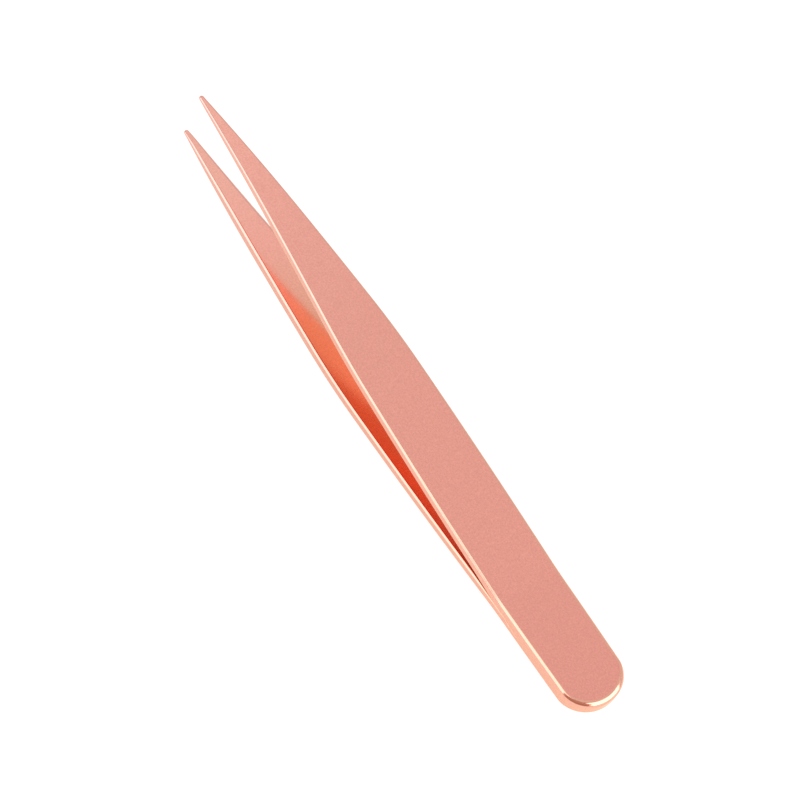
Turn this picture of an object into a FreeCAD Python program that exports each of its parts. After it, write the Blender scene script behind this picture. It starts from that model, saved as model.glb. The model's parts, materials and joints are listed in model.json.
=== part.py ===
import FreeCAD, Part
import math
import os

# Pointed steel tweezers: two sprung arms lie face to face at the butt end, where they are welded,
# and spread towards the tips. All sizes are in millimetres and all angles in radians.
# The shapes are drawn with x = 0 at the butt end, +X towards the tips, and z = 0 between the arms.
# At the end they are moved so that the origin is the middle of the model's box, at its bottom.

# The whole tool
length = 95.0
arm_thickness = 1.3
edge_radius = 0.17        # rounding of the long edges

# Outline of an arm, seen square on
tip_radius = 0.35
taper_angle = math.radians(5.67)      # slope of each side of the pointed half
taper_length = 34.7
shoulder_radius = 146.0               # from the pointed half into the handle
shoulder_length = 10.3
handle_radius = 1020.0                # the handle's sides are almost straight
butt_depth = 4.1                      # length of the rounded butt end

# Profile of an arm, seen from the side
weld_edge = 18.0                      # the arms lie together from the butt end to here
splay_angle = math.radians(4.7)
bend_radius = 40.0
bow_radius = 522.0                    # each arm bows back until its tip points straight ahead
grind_length = 21.0                   # the outer face is ground thinner towards the tip
grind_radius = 187.0
bite_length = 2.0                     # flats that meet when the tips close
tip_gap = 0.02                        # left between each bite and the middle when closed

# Where an arm flexes: a third of the way from the weld edge to the fingers
finger_place = 60.0
flex_place = weld_edge + (finger_place - weld_edge) / 3.0
flex_radius = 1.0
flex_clearance = 0.03

# Welds
nugget_diameter = 3.2
nugget_height = 0.9
nugget_places = (6.0, 12.5)
groove_depth = 0.35                   # V groove around the butt's rim, filled flush with weld metal
groove_end = 17.0

# Room given to cutting tools around the model
margin = 20.0


def vector(x, y, z):
    return FreeCAD.Vector(x, y, z)


def arc(start, middle, end):
    return Part.Arc(start, middle, end).toShape()


def line(start, end):
    return Part.LineSegment(start, end).toShape()


def on_circle(centre, radius, angle):
    """A point in plan, at an angle from the +Y direction towards +X."""
    return vector(centre.x + radius * math.sin(angle), centre.y + radius * math.cos(angle), 0)


def flipped(point):
    return vector(point.x, -point.y, point.z)


def outline_side():
    """Points down one side of the outline, from the tip arc back to the butt end."""
    tip_centre = vector(length - tip_radius, 0, 0)
    taper_end = on_circle(tip_centre, tip_radius, taper_angle)
    back = vector(-math.cos(taper_angle), math.sin(taper_angle), 0)
    taper_start = taper_end + back * taper_length

    shoulder_centre = on_circle(taper_start, -shoulder_radius, taper_angle)
    shoulder_angle = math.asin(math.sin(taper_angle) - shoulder_length / shoulder_radius)
    shoulder_middle = on_circle(shoulder_centre, shoulder_radius, (taper_angle + shoulder_angle) / 2)
    handle_end = on_circle(shoulder_centre, shoulder_radius, shoulder_angle)

    handle_centre = on_circle(handle_end, -handle_radius, shoulder_angle)
    butt_angle = math.asin((butt_depth - handle_centre.x) / handle_radius)
    handle_middle = on_circle(handle_centre, handle_radius, (shoulder_angle + butt_angle) / 2)
    handle_start = on_circle(handle_centre, handle_radius, butt_angle)
    return (taper_end, taper_start, shoulder_middle, handle_end, handle_middle, handle_start)


def butt_curve(handle_start):
    """The rounded butt end, half an ellipse between the two sides of the handle."""
    centre = vector(handle_start.x, 0, 0)
    ellipse = Part.Ellipse(handle_start, vector(0, 0, 0), centre)
    return Part.Arc(ellipse, 0, math.pi).toShape()


def outline_face():
    taper_end, taper_start, shoulder_middle, handle_end, handle_middle, handle_start = outline_side()
    edges = [
        line(taper_end, taper_start),
        arc(taper_start, shoulder_middle, handle_end),
        arc(handle_end, handle_middle, handle_start),
        butt_curve(handle_start),
        arc(flipped(handle_start), flipped(handle_middle), flipped(handle_end)),
        arc(flipped(handle_end), flipped(shoulder_middle), flipped(taper_start)),
        line(flipped(taper_start), flipped(taper_end)),
        arc(flipped(taper_end), vector(length, 0, 0), taper_end),
    ]
    return Part.Face(Part.Wire(Part.__sortEdges__(edges)))


def outline_prism(low, high):
    face = outline_face()
    face.translate(vector(0, 0, low))
    return face.extrude(vector(0, 0, high - low))


def on_profile(centre, radius, angle):
    """A point in the side profile, at an angle from the +Z direction towards -X."""
    return vector(centre.x - radius * math.sin(angle), 0, centre.z + radius * math.cos(angle))


def bend_centre():
    bend_start = weld_edge - bend_radius * math.tan(splay_angle / 2)
    return vector(bend_start, 0, bend_radius)


def bow_centre():
    """The bow is tangent to the splayed stretch and level at the tip."""
    bow_start = length - bow_radius * math.sin(splay_angle)
    rise = (bow_start - weld_edge) * math.tan(splay_angle)
    return vector(length, 0, rise - bow_radius * math.cos(splay_angle))


def inner_point(place):
    """The inner face of the upper arm, on its splayed stretch or its bow."""
    centre = bow_centre()
    if place < length - bow_radius * math.sin(splay_angle):
        return vector(place, 0, (place - weld_edge) * math.tan(splay_angle))
    return on_profile(centre, bow_radius, math.asin((centre.x - place) / bow_radius))


def flex_pivot():
    """Middle of the upper arm's thickness, where it flexes."""
    inner = inner_point(flex_place)
    across = vector(-math.sin(splay_angle), 0, math.cos(splay_angle))
    return inner + across * (arm_thickness / 2)


def closing_angle():
    """The turn about the pivot that brings the start of the bite to the middle."""
    pivot = flex_pivot()
    reach = inner_point(length - bite_length) - pivot
    slope = math.atan2(reach.z, reach.x)
    return slope + math.asin((pivot.z - tip_gap) / math.hypot(reach.x, reach.z))


def profile_face():
    bend = bend_centre()
    bow = bow_centre()
    outer_bend = bend_radius - arm_thickness
    outer_bow = bow_radius + arm_thickness
    below = math.pi + splay_angle
    half_below = math.pi + splay_angle / 2

    bite_start = inner_point(length - bite_length)
    bite_end = bite_start + vector(bite_length, 0, bite_length * math.tan(closing_angle()))
    bite_angle = math.asin(bite_length / bow_radius)
    bow_middle = on_profile(bow, bow_radius, (splay_angle + bite_angle) / 2)

    grind_angle = math.asin(grind_length / outer_bow)
    grind_start = on_profile(bow, outer_bow, grind_angle)
    grind_centre = on_profile(grind_start, -grind_radius, grind_angle)
    tip_angle = math.asin((grind_centre.x - length) / grind_radius)
    grind_middle = on_profile(grind_centre, grind_radius, (grind_angle + tip_angle) / 2)
    grind_end = on_profile(grind_centre, grind_radius, tip_angle)

    inner_bend_start = vector(bend.x, 0, 0)
    inner_bend_end = on_profile(bend, bend_radius, below)
    inner_bow_start = on_profile(bow, bow_radius, splay_angle)
    outer_bow_start = on_profile(bow, outer_bow, splay_angle)
    outer_bow_middle = on_profile(bow, outer_bow, (splay_angle + grind_angle) / 2)
    outer_bend_end = on_profile(bend, outer_bend, below)
    outer_bend_start = vector(bend.x, 0, arm_thickness)
    edges = [
        line(vector(0, 0, 0), inner_bend_start),
        arc(inner_bend_start, on_profile(bend, bend_radius, half_below), inner_bend_end),
        line(inner_bend_end, inner_bow_start),
        arc(inner_bow_start, bow_middle, bite_start),
        line(bite_start, bite_end),
        line(bite_end, grind_end),
        arc(grind_end, grind_middle, grind_start),
        arc(grind_start, outer_bow_middle, outer_bow_start),
        line(outer_bow_start, outer_bend_end),
        arc(outer_bend_end, on_profile(bend, outer_bend, half_below), outer_bend_start),
        line(outer_bend_start, vector(0, 0, arm_thickness)),
        line(vector(0, 0, arm_thickness), vector(0, 0, 0)),
    ]
    return Part.Face(Part.Wire(Part.__sortEdges__(edges)))


def box_between(low_x, high_x):
    size = 2 * margin
    return Part.makeBox(high_x - low_x, size, size, vector(low_x, -margin, -margin))


def cylinder_across(centre, radius):
    return Part.makeCylinder(radius, 2 * margin, vector(centre.x, -margin, centre.z), vector(0, 1, 0))


def rim_edges(shape):
    """The long edges around the outline; edges straight across the arm have no length in X."""
    return [edge for edge in shape.Edges if edge.BoundBox.XLength > 0.01]


def upper_arm():
    """One arm as it is stamped, bent and ground, with its outer rim rounded."""
    profile = profile_face()
    profile.translate(vector(0, -margin, 0))
    strip = profile.extrude(vector(0, 2 * margin, 0))
    arm = strip.common(outline_prism(0, margin)).Solids[0]
    outer = [edge for edge in rim_edges(arm) if is_outer(edge)]
    return arm.makeFillet(edge_radius, outer)


def is_outer(edge):
    """Whether a rim edge is on the outer face of the upper arm."""
    middle = edge.CenterOfMass
    if middle.x < weld_edge:
        return middle.z > arm_thickness / 2
    return middle.z > inner_point(middle.x).z + arm_thickness / 4


def groove_filler():
    """The upper half of the weld bead in the groove around the butt's rim."""
    slab = outline_prism(0, 2 * groove_depth).common(box_between(-margin, groove_end)).Solids[0]
    rim = [edge for edge in rim_edges(slab) if edge.BoundBox.ZMax < groove_depth]
    return slab.cut(slab.makeChamfer(groove_depth, rim))


def edge_weld():
    upper_half = groove_filler()
    return upper_half.fuse(to_lower(upper_half)).removeSplitter()


def spot_welds():
    low = -nugget_height / 2
    nuggets = [Part.makeCylinder(nugget_diameter / 2, nugget_height, vector(place, 0, low))
               for place in nugget_places]
    return Part.makeCompound(nuggets)


def heel_of(arm):
    """The stretch that stays with the butt: up to the flexing place, less the welds."""
    pivot = flex_pivot()
    heel = arm.common(box_between(-margin, pivot.x))
    heel = heel.cut(cylinder_across(pivot, flex_radius + flex_clearance))
    return heel.cut(spot_welds()).cut(groove_filler()).Solids[0]


def blade_of(arm):
    """The stretch that swings, which starts with a round end in the heel's hollow end."""
    pivot = flex_pivot()
    beyond = box_between(pivot.x, length + margin)
    return arm.common(beyond.fuse(cylinder_across(pivot, flex_radius))).Solids[0]


def to_lower(shape):
    """Mirrors a shape of the upper arm into the lower one."""
    return shape.mirror(vector(0, 0, 0), vector(0, 0, 1))


def write_parts(parts):
    os.makedirs("parts", exist_ok=True)
    box = Part.makeCompound(list(parts.values())).optimalBoundingBox(False, False)
    offset = vector(-(box.XMin + box.XMax) / 2, -(box.YMin + box.YMax) / 2, -box.ZMin)
    for name, shape in parts.items():
        placed = shape.copy()
        placed.translate(offset)
        placed.exportStep("parts/" + name + ".step")
        print(name, "solids", len(placed.Solids), "valid", placed.isValid(), "volume", round(placed.Volume, 2))
    pivot = flex_pivot()
    print("size", round(box.XLength, 3), round(box.YLength, 3), round(box.ZLength, 3))
    print("upper pivot", (pivot + offset).x, (pivot + offset).z)
    print("lower pivot", (to_lower(Part.Vertex(pivot)).Point + offset).z)
    print("closing angle in degrees", math.degrees(closing_angle()))


def main():
    arm = upper_arm()
    heel = heel_of(arm)
    blade = blade_of(arm)
    write_parts({
        "upper_arm_heel": heel,
        "upper_arm_blade": blade,
        "lower_arm_heel": to_lower(heel),
        "lower_arm_blade": to_lower(blade),
        "spot_welds": spot_welds(),
        "edge_weld": edge_weld(),
    })


main()
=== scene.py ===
import json
import math

import bmesh
import bpy
from mathutils import Matrix, Vector
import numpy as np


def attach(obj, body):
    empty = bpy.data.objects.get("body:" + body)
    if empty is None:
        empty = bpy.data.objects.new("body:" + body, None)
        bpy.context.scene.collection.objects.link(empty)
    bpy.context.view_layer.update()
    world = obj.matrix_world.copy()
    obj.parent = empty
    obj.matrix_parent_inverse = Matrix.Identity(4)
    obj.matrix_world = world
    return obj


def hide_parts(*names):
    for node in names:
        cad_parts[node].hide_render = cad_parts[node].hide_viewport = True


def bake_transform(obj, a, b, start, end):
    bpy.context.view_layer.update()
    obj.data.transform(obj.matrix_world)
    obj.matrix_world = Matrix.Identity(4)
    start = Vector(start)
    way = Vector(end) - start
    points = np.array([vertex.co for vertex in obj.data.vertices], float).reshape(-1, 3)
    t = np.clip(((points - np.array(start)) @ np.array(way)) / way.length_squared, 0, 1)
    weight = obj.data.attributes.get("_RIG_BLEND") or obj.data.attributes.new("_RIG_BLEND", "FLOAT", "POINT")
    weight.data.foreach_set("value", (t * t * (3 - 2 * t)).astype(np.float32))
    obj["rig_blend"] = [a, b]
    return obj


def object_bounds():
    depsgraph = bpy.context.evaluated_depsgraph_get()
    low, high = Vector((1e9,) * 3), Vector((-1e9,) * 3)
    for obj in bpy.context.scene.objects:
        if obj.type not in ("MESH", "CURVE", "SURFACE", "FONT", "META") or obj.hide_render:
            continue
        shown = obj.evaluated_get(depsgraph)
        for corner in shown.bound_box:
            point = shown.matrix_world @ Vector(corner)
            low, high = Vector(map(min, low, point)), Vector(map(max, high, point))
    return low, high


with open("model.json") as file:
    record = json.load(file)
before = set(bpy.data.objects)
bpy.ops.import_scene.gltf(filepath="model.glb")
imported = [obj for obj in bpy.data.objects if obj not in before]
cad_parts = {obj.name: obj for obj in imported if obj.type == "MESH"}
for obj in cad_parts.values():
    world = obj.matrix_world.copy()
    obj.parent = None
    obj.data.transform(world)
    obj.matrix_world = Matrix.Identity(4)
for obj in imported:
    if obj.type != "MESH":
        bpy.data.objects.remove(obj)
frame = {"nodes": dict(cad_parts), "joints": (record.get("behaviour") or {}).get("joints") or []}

# Pointed tweezers in rose-gold coated steel: two sprung arms welded together at the butt end.
# The butt is at -X, the tips at +X, and the middle between the arms is halfway up the box.
cadLow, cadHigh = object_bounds()
mm = 0.001
print("frame loaded, size in mm:", [round(side / mm, 2) for side in cadHigh - cadLow])


def smoothRamp(value, start, end):
    # 0 before start, 1 after end, easing in between
    share = min(max((value - start) / (end - start), 0.0), 1.0)
    return share * share * (3 - 2 * share)


arm = {
    "length": (cadHigh.x - cadLow.x) / mm,
    "thickness": 1.3,
    "tipRadius": 0.35,
    "taperAngle": math.radians(5.67),
    "taperLength": 34.7,
    "shoulderRadius": 146.0,
    "shoulderLength": 10.3,
    "handleRadius": 1020.0,
    "buttDepth": 4.1,
    "weldEdge": 18.0,
    "splayAngle": math.radians(4.7),
    "bendRadius": 40.0,
    "bowRadius": 522.0,
    "grindLength": 21.0,
    "grindRadius": 187.0,
    "biteLength": 2.0,
    "rimAtButt": 0.50,        # rounding of the outer long edges, tumbled softer at the butt
    "rimAtTip": 0.27,
    "rimGrown": 5.0,          # it grows from the tip up to this far from the butt
    "rimOnButt": 0.30,        # added to that right round the end of the butt
    "rimOnButtStart": 4.0,
    "rimOnButtFull": 0.5,
    "innerRim": 0.44,
    "innerRimShare": 0.36,    # at most this share of the thickness, where the tips are thin
    "innerRimFull": 24.0,     # the inner edges reach that rounding this far from the butt
    "grooveDepth": 0.35,      # bevel that holds the edge weld
    "grooveFades": 13.0,
    "grooveEnd": 17.0,
    "seamDepth": 0.12,        # what is left of the groove where the weld ends
    "flexStart": 18.5,        # the stretch that bends when the arms are squeezed
    "flexEnd": 45.5,
}
closingAngle = math.radians(max(joint["range_deg"][1] for joint in frame["joints"]))


def outlineStations():
    # (x, y, normalX, normalY) down the +Y side, from the end of the tip round to the end of the butt
    stations = []
    tipX = arm["length"] - arm["tipRadius"]
    taper = arm["taperAngle"]
    tipSteps = 10
    for step in range(tipSteps):
        turn = (math.pi / 2 - taper) * step / tipSteps
        nx, ny = math.cos(turn), math.sin(turn)
        stations.append((tipX + arm["tipRadius"] * nx, arm["tipRadius"] * ny, nx, ny))

    nx, ny = math.sin(taper), math.cos(taper)
    startX, startY = tipX + arm["tipRadius"] * nx, arm["tipRadius"] * ny
    taperSteps = 64
    for step in range(taperSteps):
        along = arm["taperLength"] * step / taperSteps
        stations.append((startX - along * ny, startY + along * nx, nx, ny))
    taperX = startX - arm["taperLength"] * ny
    taperY = startY + arm["taperLength"] * nx

    radius = arm["shoulderRadius"]
    centreX, centreY = taperX - radius * nx, taperY - radius * ny
    shoulder = math.asin(nx - arm["shoulderLength"] / radius)
    shoulderSteps = 16
    for step in range(shoulderSteps):
        turn = taper + (shoulder - taper) * step / shoulderSteps
        nx, ny = math.sin(turn), math.cos(turn)
        stations.append((centreX + radius * nx, centreY + radius * ny, nx, ny))

    nx, ny = math.sin(shoulder), math.cos(shoulder)
    endX, endY = centreX + radius * nx, centreY + radius * ny
    radius = arm["handleRadius"]
    centreX, centreY = endX - radius * nx, endY - radius * ny
    butt = math.asin((arm["buttDepth"] - centreX) / radius)
    handleSteps = 60
    for step in range(handleSteps):
        turn = shoulder + (butt - shoulder) * step / handleSteps
        nx, ny = math.sin(turn), math.cos(turn)
        stations.append((centreX + radius * nx, centreY + radius * ny, nx, ny))

    halfWidth = centreY + radius * math.cos(butt)
    buttSteps = 36
    for step in range(buttSteps + 1):
        turn = math.pi / 2 * step / buttSteps
        x = arm["buttDepth"] * (1 - math.sin(turn))
        y = halfWidth * math.cos(turn)
        nx, ny = -math.sin(turn) / arm["buttDepth"], math.cos(turn) / halfWidth
        size = math.hypot(nx, ny)
        stations.append((x, y, nx / size, ny / size))
    return stations


def innerHeight(x):
    # the upper arm's inner face over the middle of the tool
    splay = arm["splayAngle"]
    bendX = arm["weldEdge"] - arm["bendRadius"] * math.tan(splay / 2)
    bendEnd = bendX + arm["bendRadius"] * math.sin(splay)
    bowX = arm["length"] - arm["bowRadius"] * math.sin(splay)
    biteX = arm["length"] - arm["biteLength"]
    if x < bendX:
        return 0.0
    if x < bendEnd:
        return arm["bendRadius"] - math.sqrt(arm["bendRadius"] ** 2 - (x - bendX) ** 2)
    if x < bowX:
        return (x - arm["weldEdge"]) * math.tan(splay)
    if x > biteX:
        return innerHeight(biteX) + (x - biteX) * math.tan(closingAngle)
    centreZ = (bowX - arm["weldEdge"]) * math.tan(splay) - arm["bowRadius"] * math.cos(splay)
    return centreZ + math.sqrt(arm["bowRadius"] ** 2 - (x - arm["length"]) ** 2)


def outerHeight(x):
    splay = arm["splayAngle"]
    outerBow = arm["bowRadius"] + arm["thickness"]
    grindX = arm["length"] - arm["grindLength"]
    if x <= grindX:
        nudge = 0.01
        slope = (innerHeight(x + nudge) - innerHeight(x - nudge)) / (2 * nudge)
        return innerHeight(x) + arm["thickness"] * math.sqrt(1 + slope * slope)
    bowX = arm["length"] - arm["bowRadius"] * math.sin(splay)
    centreZ = (bowX - arm["weldEdge"]) * math.tan(splay) - arm["bowRadius"] * math.cos(splay)
    turn = math.asin(arm["grindLength"] / outerBow)
    grindCentreX = grindX + arm["grindRadius"] * math.sin(turn)
    grindCentreZ = centreZ + (outerBow - arm["grindRadius"]) * math.cos(turn)
    return grindCentreZ + math.sqrt(arm["grindRadius"] ** 2 - (x - grindCentreX) ** 2)


def outerRim(x):
    grown = smoothRamp(x, arm["length"], arm["rimGrown"])
    onButt = smoothRamp(x, arm["rimOnButtStart"], arm["rimOnButtFull"])
    taper = (arm["rimAtButt"] - arm["rimAtTip"]) * grown
    return arm["rimAtTip"] + taper + arm["rimOnButt"] * onButt


def grooveAt(x):
    fade = smoothRamp(x, arm["grooveFades"], arm["grooveEnd"])
    return arm["grooveDepth"] + (arm["seamDepth"] - arm["grooveDepth"]) * fade


def innerRimAt(x, thickness):
    full = min(arm["innerRim"], thickness * arm["innerRimShare"])
    grown = smoothRamp(x, arm["grooveEnd"], arm["innerRimFull"])
    return arm["seamDepth"] + (full - arm["seamDepth"]) * grown


def flatWidth(halfWidth):
    # the flat part of a face, gone where the two roundings meet
    narrowest = 0.01
    return halfWidth if halfWidth > narrowest else 0.0


def armSection(station):
    # half a cross-section, from the middle of the outer face round to the middle of the inner one:
    # (x, y, z, polish, inside), polish being 1 on the tumbled edges and inside 1 on the inner face
    x, y, nx, ny = station
    thickness = outerHeight(x) - innerHeight(x)
    rim = outerRim(x)
    rimDeep = min(rim, thickness * 0.5)
    grooved = x < arm["grooveEnd"]
    innerRim = grooveAt(x) if grooved else innerRimAt(x, thickness)
    columns, rimSteps, wallSteps, innerSteps = 5, 8, 3, 6
    margin = 0.05             # flat strip beside each rounding, which keeps the faces' shading flat
    points = []

    def outerPoint(inset, drop, polish):
        px, py = x - inset * nx, max(y - inset * ny, 0.0)
        points.append((px, py, outerHeight(px) - drop, polish, 0.0))

    def innerPoint(inset, lift, polish, inside):
        px, py = x - inset * nx, max(y - inset * ny, 0.0)
        points.append((px, py, innerHeight(px) + lift, polish, inside))

    flatX, flatY = x - (rim + margin) * nx, flatWidth(y - (rim + margin) * ny)
    for column in range(columns + 1):
        points.append((flatX, flatY * column / columns, outerHeight(flatX), 0.0, 0.0))
    for step in range(rimSteps + 1):
        turn = math.pi / 2 * step / rimSteps
        outerPoint(rim * (1 - math.sin(turn)), rimDeep * (1 - math.cos(turn)), 1.0)
    wallTop = outerHeight(x) - rimDeep
    wallBase = innerHeight(x) + innerRim
    for step in range(1, wallSteps):
        points.append((x, y, wallTop + (wallBase - wallTop) * step / wallSteps, 1.0, 0.0))
    for step in range(innerSteps + 1):
        share = step / innerSteps
        turn = math.pi / 2 * share
        inset = share if grooved else 1 - math.cos(turn)
        lift = 1 - share if grooved else 1 - math.sin(turn)
        innerPoint(innerRim * inset, innerRim * lift, 1.0, 0.0)
    flatX, flatY = x - (innerRim + margin) * nx, flatWidth(y - (innerRim + margin) * ny)
    for column in range(columns, -1, -1):
        points.append((flatX, flatY * column / columns, innerHeight(flatX), 0.0, 1.0))
    return points


def frameSpace(x, y, z):
    # from tool millimetres, measured from the butt end and the middle, to the frame in metres
    middle = (cadLow + cadHigh) / 2
    return Vector((cadLow.x + x * mm, middle.y + y * mm, middle.z + z * mm))


def addVert(builder, place, rest, polish, inside):
    # a point that remembers where on the tool it is and how that spot is finished
    vert = builder.verts.new(place)
    vert[builder.verts.layers.float_vector["restMm"]] = rest
    vert[builder.verts.layers.float["polish"]] = polish
    vert[builder.verts.layers.float["inside"]] = inside
    return vert


def newBuilder():
    builder = bmesh.new()
    builder.verts.layers.float.new("polish")
    builder.verts.layers.float.new("inside")
    builder.verts.layers.float_vector.new("restMm")
    return builder


def skinRings(builder, rings):
    for ring, following in zip(rings, rings[1:]):
        for index in range(len(ring)):
            after = (index + 1) % len(ring)
            builder.faces.new([ring[index], ring[after], following[after], following[index]])


def finishPiece(name, builder):
    bmesh.ops.recalc_face_normals(builder, faces=builder.faces)
    for face in builder.faces:
        face.smooth = True
    creaseAngle = math.radians(35)
    for edge in builder.edges:
        if len(edge.link_faces) == 2 and edge.calc_face_angle() > creaseAngle:
            edge.smooth = False
    mesh = bpy.data.meshes.new(name)
    builder.to_mesh(mesh)
    builder.free()
    piece = bpy.data.objects.new(name, mesh)
    bpy.context.scene.collection.objects.link(piece)
    return piece


def makeArm(name, side):
    # side is 1 for the upper arm and -1 for the lower one, its mirror image
    builder = newBuilder()
    rings = []
    for station in outlineStations():
        section = armSection(station)
        mirrored = [(x, -y, z, polish, inside) for x, y, z, polish, inside in section[-2:0:-1]]
        rings.append([addVert(builder, frameSpace(x, y, side * z), (x, y, z), polish, inside)
                      for x, y, z, polish, inside in section + mirrored])
    skinRings(builder, rings)
    mergeDistance = 0.0005 * mm
    sliverSize = 0.0004 * mm
    bmesh.ops.remove_doubles(builder, verts=builder.verts, dist=mergeDistance)
    bmesh.ops.dissolve_degenerate(builder, edges=builder.edges, dist=sliverSize)
    bmesh.ops.holes_fill(builder, edges=[edge for edge in builder.edges if edge.is_boundary])
    return finishPiece(name, builder)


def makeEdgeWeld():
    # the bead in the groove round the butt's rim: ground flush, and sinking in where it ends
    builder = newBuilder()
    stations = [station for station in outlineStations() if station[0] < arm["grooveEnd"]]
    path = stations + [(x, -y, nx, -ny) for x, y, nx, ny in stations[-2::-1]]
    faceSteps = 6
    deepest = 0.9             # how far down the groove the bead has sunk at its ends
    rings = []
    for x, y, nx, ny in path:
        depth = grooveAt(x)
        sunk = arm["seamDepth"] * deepest * smoothRamp(x, arm["grooveFades"], arm["grooveEnd"])
        outline = [(sunk, (depth - sunk) * (1 - 2 * step / faceSteps)) for step in range(faceSteps + 1)]
        outline.append((depth, 0.0))
        ring = []
        for inset, z in outline:
            place = frameSpace(x - inset * nx, y - inset * ny, z)
            ring.append(addVert(builder, place, (x, y, z), 1.0, 0.0))
        rings.append(ring)
    skinRings(builder, rings)
    builder.faces.new(rings[0])
    builder.faces.new(rings[-1])
    return finishPiece("edgeWeld", builder)


def toLinear(hexColour):
    # sRGB hex to linear RGBA
    channels = [int(hexColour[place:place + 2], 16) / 255 for place in (1, 3, 5)]
    linear = [c / 12.92 if c <= 0.04045 else ((c + 0.055) / 1.055) ** 2.4 for c in channels]
    return (*linear, 1.0)


def addNode(tree, kind, settings=None, links=None):
    # settings are the node's properties or its inputs' values, links join its inputs to other sockets
    node = tree.nodes.new(kind)
    for name, value in (settings or {}).items():
        if isinstance(name, str) and hasattr(node, name):
            setattr(node, name, value)
        else:
            node.inputs[name].default_value = value
    for name, socket in (links or {}).items():
        tree.links.new(socket, node.inputs[name])
    return node


coating = {
    # colours by share of the tool's length, from the butt, with painted shade and painted reflection in
    # them: the outer faces are painted deepest at the butt and lighter toward the tips, and the inner ones
    # painted palest deep in the gap where the arms shade each other
    "outerFacesPaintedShade": {0.0: "#EA9E8F", 0.60: "#EDA494", 0.80: "#F3AB9C", 1.0: "#FEB8A7"},
    "innerFacesPaintedLight": {0.27: "#E9BDB0", 0.32: "#F4CBBF", 0.37: "#F7C0AC", 0.46: "#F4B299",
                   0.54: "#F7AE92", 0.67: "#EEAC92", 0.80: "#FAB0A0", 0.92: "#FAB7A6"},
    # the tumbled edges' colours are partly their finish and partly a painted reflection: yellower than the
    # faces at the butt and painted duller at the tips
    "edges": {0.0: "#EAAB95", 0.50: "#E4A896", 1.0: "#E2A99E"},
    "edgeTint": "#FFFAE6",    # the colour that the coating turns at a glancing angle
    "mottleMm": 1.6,          # patches of thicker and thinner coating
    "mottleShare": 0.05,
    "grainMm": 0.25,          # the blasted grain is nearer 0.05 mm, drawn coarser so that it shows
    "grainShade": 0.06,       # how much lighter or darker a grain is than the face
    "grainHeightMm": 0.01,
    "grainStrength": 0.05,
    "outsideRoughness": 0.24,
    "insideRoughness": 0.15,
    "rimRoughness": 0.12,
    "unevenRoughness": 0.03,
}


def colourRamp(tree, colours, place):
    node = addNode(tree, "ShaderNodeValToRGB", None, {"Fac": place})
    stops = node.color_ramp.elements
    places = sorted(colours)
    stops[0].position, stops[1].position = places[0], places[-1]
    for share in places[1:-1]:
        stops.new(share)
    for stop, share in zip(stops, places):
        stop.color = toLinear(colours[share])
    return node.outputs["Color"]


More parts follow.
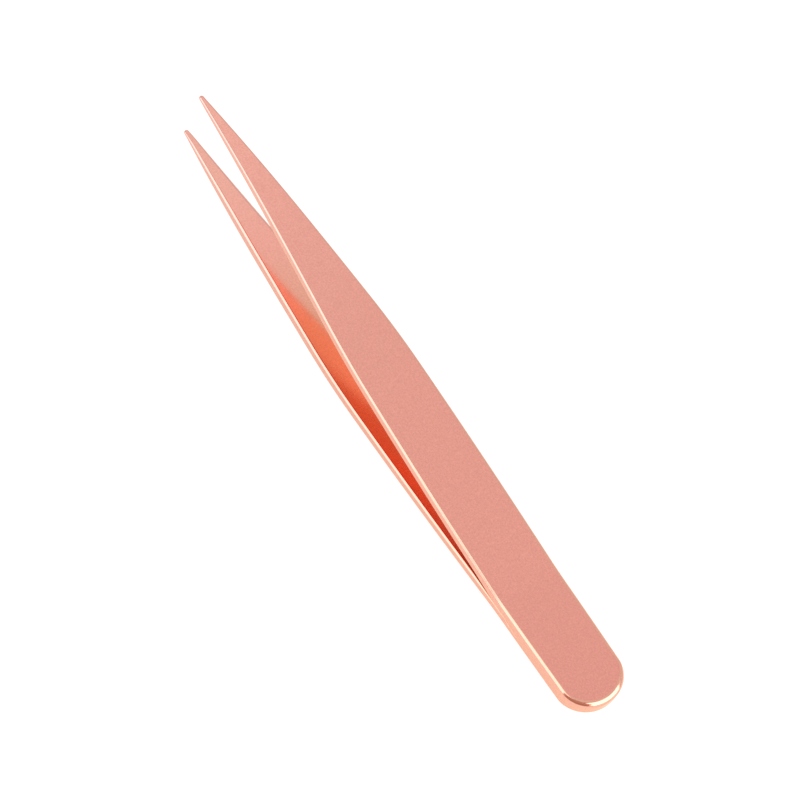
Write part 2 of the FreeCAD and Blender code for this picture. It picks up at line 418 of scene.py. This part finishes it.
def roseGoldSatinSteel():
    # Stainless steel, bead blasted, tumbled along its edges and ion plated rose gold: even satin faces with
    # a faint grain, and smooth bright edges that catch the softboxes. Its colours along the arm also carry
    # painted shade and painted reflection.
    material = bpy.data.materials.new("roseGoldSatinSteel")
    material.use_nodes = True
    tree = material.node_tree
    shader = tree.nodes["Principled BSDF"]
    shader.inputs["Metallic"].default_value = 1.0
    shader.inputs["Specular Tint"].default_value = toLinear(coating["edgeTint"])
    rest = addNode(tree, "ShaderNodeAttribute", {"attribute_name": "restMm"}).outputs["Vector"]
    polish = addNode(tree, "ShaderNodeAttribute", {"attribute_name": "polish"}).outputs["Fac"]
    inside = addNode(tree, "ShaderNodeAttribute", {"attribute_name": "inside"}).outputs["Fac"]

    along = addNode(tree, "ShaderNodeSeparateXYZ", None, {0: rest}).outputs["X"]
    lengthShare = addNode(tree, "ShaderNodeMath", {"operation": "DIVIDE", 1: arm["length"]}, {0: along})
    mottle = addNode(tree, "ShaderNodeTexNoise",
                     {"Scale": 1 / coating["mottleMm"], "Detail": 3.0, "Roughness": 0.6},
                     {"Vector": rest})
    patches = addNode(tree, "ShaderNodeMapRange",
                      {"From Min": 0.25, "From Max": 0.75,
                       "To Min": -coating["mottleShare"], "To Max": coating["mottleShare"]},
                      {"Value": mottle.outputs["Fac"]})
    share = addNode(tree, "ShaderNodeMath", {"operation": "ADD"},
                    {0: lengthShare.outputs[0], 1: patches.outputs[0]})
    # the outer, inner and edge ramps below paint shade and reflections along the arm into the colour
    outer = colourRamp(tree, coating["outerFacesPaintedShade"], share.outputs[0])
    inner = colourRamp(tree, coating["innerFacesPaintedLight"], lengthShare.outputs[0])
    edges = colourRamp(tree, coating["edges"], lengthShare.outputs[0])
    faces = addNode(tree, "ShaderNodeMix", {"data_type": "RGBA"}, {0: inside, 6: outer, 7: inner})
    colour = addNode(tree, "ShaderNodeMix", {"data_type": "RGBA"},
                     {0: polish, 6: faces.outputs[2], 7: edges})

    grain = addNode(tree, "ShaderNodeTexNoise",
                    {"Scale": 1 / coating["grainMm"], "Detail": 2.0, "Roughness": 0.5},
                    {"Vector": rest}).outputs["Fac"]
    shade = addNode(tree, "ShaderNodeMapRange",
                    {"From Min": 0.3, "From Max": 0.7,
                     "To Min": 1 - coating["grainShade"], "To Max": 1 + coating["grainShade"]},
                    {"Value": grain})
    grained = addNode(tree, "ShaderNodeVectorMath", {"operation": "SCALE"},
                      {0: colour.outputs[2], "Scale": shade.outputs[0]})
    tree.links.new(grained.outputs[0], shader.inputs["Base Color"])

    face = addNode(tree, "ShaderNodeMapRange",
                   {"To Min": coating["outsideRoughness"], "To Max": coating["insideRoughness"]},
                   {"Value": inside})
    edge = addNode(tree, "ShaderNodeMix", None, {0: polish, 2: face.outputs[0]})
    edge.inputs[3].default_value = coating["rimRoughness"]
    uneven = addNode(tree, "ShaderNodeMapRange",
                     {"To Min": -coating["unevenRoughness"], "To Max": coating["unevenRoughness"]},
                     {"Value": grain})
    rough = addNode(tree, "ShaderNodeMath", {"operation": "ADD"},
                    {0: edge.outputs[0], 1: uneven.outputs[0]})
    tree.links.new(rough.outputs[0], shader.inputs["Roughness"])
    bump = addNode(tree, "ShaderNodeBump",
                   {"Strength": coating["grainStrength"], "Distance": coating["grainHeightMm"] * mm},
                   {"Height": grain})
    tree.links.new(bump.outputs[0], shader.inputs["Normal"])
    return material


nuggetFinish = {
    "steel": "#8C8A88",
    "strawTint": "#B7A27C",
    "roughness": 0.45,
    "rippleMm": 0.8,          # spacing of the ripples that a nugget sets with
    "rippleHeightMm": 0.02,
    "rippleStrength": 0.3,
}


def heatTintedSteel():
    # Weld metal that has set inside the joint: dull grey steel, straw coloured where it cooled.
    material = bpy.data.materials.new("heatTintedSteel")
    material.use_nodes = True
    tree = material.node_tree
    shader = tree.nodes["Principled BSDF"]
    shader.inputs["Metallic"].default_value = 1.0
    shader.inputs["Roughness"].default_value = nuggetFinish["roughness"]
    place = addNode(tree, "ShaderNodeTexCoord").outputs["Object"]
    ripples = addNode(tree, "ShaderNodeTexNoise",
                      {"Scale": 1 / (nuggetFinish["rippleMm"] * mm), "Detail": 4.0},
                      {"Vector": place}).outputs["Fac"]
    tint = colourRamp(tree, {0.0: nuggetFinish["steel"], 1.0: nuggetFinish["strawTint"]}, ripples)
    tree.links.new(tint, shader.inputs["Base Color"])
    bump = addNode(tree, "ShaderNodeBump",
                   {"Strength": nuggetFinish["rippleStrength"],
                    "Distance": nuggetFinish["rippleHeightMm"] * mm},
                   {"Height": ripples})
    tree.links.new(bump.outputs[0], shader.inputs["Normal"])
    return material


studio = {
    "lensMm": 235.56,
    "aim": Vector((0.28 * mm, -0.78 * mm, 5.63 * mm)),
    "distance": 671.7 * mm,
    "azimuth": 208.24,
    "elevation": 61.77,
    "roll": 29.70,
    "floorHalfSide": 3.0,
    "floorClearance": 0.02 * mm,
    "worldStrength": 0.88,
    "floorShade": 0.25,
    "floorRoughness": 0.9,
    "floorGlow": 0.82,
    "glossyBounces": 12,      # enough for light to find its way out of the gap between the arms
}
# azimuth from +X towards +Y and elevation in degrees, distance and size across and up in metres
softboxes = {
    "leftSoftbox": {"azimuth": 66, "elevation": 50, "distance": 0.8,
                    "size": (0.64, 1.30), "radiance": 1.4},
    "buttSoftbox": {"azimuth": 204, "elevation": 38, "distance": 0.8,
                    "size": (0.90, 0.78), "radiance": 2.0},
}
# brown cards seen only in reflections: they draw the dark line round the butt's corner
flags = {
    "cornerFlag": {"azimuth": 133, "elevation": 34, "distance": 0.5,
                   "size": (0.66, 0.46), "shade": "#C3A194"},
    "upperFlag": {"azimuth": 140, "elevation": 62, "distance": 0.5,
                  "size": (0.36, 0.24), "shade": "#CDB2A6"},
}


def towards(azimuth, elevation):
    azimuth, elevation = math.radians(azimuth), math.radians(elevation)
    return Vector((math.cos(azimuth) * math.cos(elevation), math.sin(azimuth) * math.cos(elevation),
                   math.sin(elevation)))


def makeCamera():
    back = towards(studio["azimuth"] - 90, studio["elevation"])
    lens = bpy.data.cameras.new("camera")
    lens.lens = studio["lensMm"]
    lens.sensor_width = 36.0
    lens.clip_start = 0.01
    lens.clip_end = 20.0
    camera = bpy.data.objects.new("camera", lens)
    bpy.context.scene.collection.objects.link(camera)
    turn = (-back).to_track_quat("-Z", "Y").to_matrix().to_4x4()
    roll = Matrix.Rotation(math.radians(studio["roll"]), 4, "Z")
    camera.matrix_world = Matrix.Translation(studio["aim"] + back * studio["distance"]) @ turn @ roll
    bpy.context.scene.camera = camera


def makeCard(name, across, up):
    # a flat rectangle about its own middle
    mesh = bpy.data.meshes.new(name)
    x, y = across / 2, up / 2
    mesh.from_pydata([(-x, -y, 0), (x, -y, 0), (x, y, 0), (-x, y, 0)], [], [(0, 1, 2, 3)])
    card = bpy.data.objects.new(name, mesh)
    bpy.context.scene.collection.objects.link(card)
    return card


def faceTool(thing, placing):
    # stands a light or a card at its place in the studio, turned to the tool
    away = towards(placing["azimuth"], placing["elevation"])
    thing.location = away * placing["distance"]
    thing.rotation_mode = "QUATERNION"
    thing.rotation_quaternion = (-away).to_track_quat("-Z", "Y")


def makeFloor():
    # a pale table top: the tool lies on it with the butt's lower edge and the lower arm's bow
    buttEdge = frameSpace(arm["rimAtButt"], 0, -arm["thickness"])

    def slopeTo(point):
        return math.atan2(point.z - buttEdge.z, point.x - buttEdge.x)

    underside = [frameSpace(x, 0, -outerHeight(x)) for x in range(30, 95)]
    bow = min(underside, key=slopeTo)
    slope = slopeTo(bow)
    floor = makeCard("floor", 2 * studio["floorHalfSide"], 2 * studio["floorHalfSide"])
    floor.location = bow - Vector((0, 0, studio["floorClearance"]))
    floor.rotation_euler = (0, -slope, 0)
    material = bpy.data.materials.new("whiteTable")
    material.use_nodes = True
    shader = material.node_tree.nodes["Principled BSDF"]
    shade = studio["floorShade"]
    shader.inputs["Base Color"].default_value = (shade, shade, shade, 1)
    shader.inputs["Roughness"].default_value = studio["floorRoughness"]
    shader.inputs["Emission Color"].default_value = (1, 1, 1, 1)
    shader.inputs["Emission Strength"].default_value = studio["floorGlow"]
    floor.data.materials.append(material)


def makeSoftboxes():
    for name, box in softboxes.items():
        across, up = box["size"]
        light = bpy.data.lights.new(name, "AREA")
        light.shape = "RECTANGLE"
        light.size = across
        light.size_y = up
        light.energy = box["radiance"] * math.pi * across * up
        lamp = bpy.data.objects.new(name, light)
        bpy.context.scene.collection.objects.link(lamp)
        faceTool(lamp, box)
        lamp.visible_camera = False


def makeFlags():
    for name, card in flags.items():
        flag = makeCard(name, *card["size"])
        faceTool(flag, card)
        material = bpy.data.materials.new(name + "Card")
        material.use_nodes = True
        tree = material.node_tree
        tree.nodes.clear()
        glow = addNode(tree, "ShaderNodeEmission", {"Color": toLinear(card["shade"])})
        addNode(tree, "ShaderNodeOutputMaterial", None, {"Surface": glow.outputs[0]})
        flag.data.materials.append(material)
        flag.visible_camera = False
        flag.visible_diffuse = False
        flag.visible_shadow = False


def lightRoom():
    world = bpy.data.worlds.new("studio")
    bpy.context.scene.world = world
    world.use_nodes = True
    background = world.node_tree.nodes["Background"]
    background.inputs["Color"].default_value = (1, 1, 1, 1)
    background.inputs["Strength"].default_value = studio["worldStrength"]
    bpy.context.scene.view_settings.view_transform = "Standard"
    bpy.context.scene.cycles.glossy_bounces = studio["glossyBounces"]


makeCamera()
makeFloor()
makeSoftboxes()
makeFlags()
lightRoom()
print("studio ready")

satin = roseGoldSatinSteel()
flexStart = frameSpace(arm["flexStart"], 0, 0)
flexEnd = frameSpace(arm["flexEnd"], 0, 0)
for name, side, node in (("upperArm", 1, "upper"), ("lowerArm", -1, "lower")):
    piece = makeArm(name, side)
    piece.data.materials.append(satin)
    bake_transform(piece, "butt", node + "_blade", start=flexStart, end=flexEnd)
    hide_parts(node + "_arm_heel", node + "_arm_blade")
    print(name, "has", len(piece.data.polygons), "faces")

bead = makeEdgeWeld()
bead.data.materials.append(satin)
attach(bead, "butt")
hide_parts("edge_weld")

nuggets = frame["nodes"]["spot_welds"]
nuggets.data.materials.clear()
nuggets.data.materials.append(heatTintedSteel())
print("pieces ready")
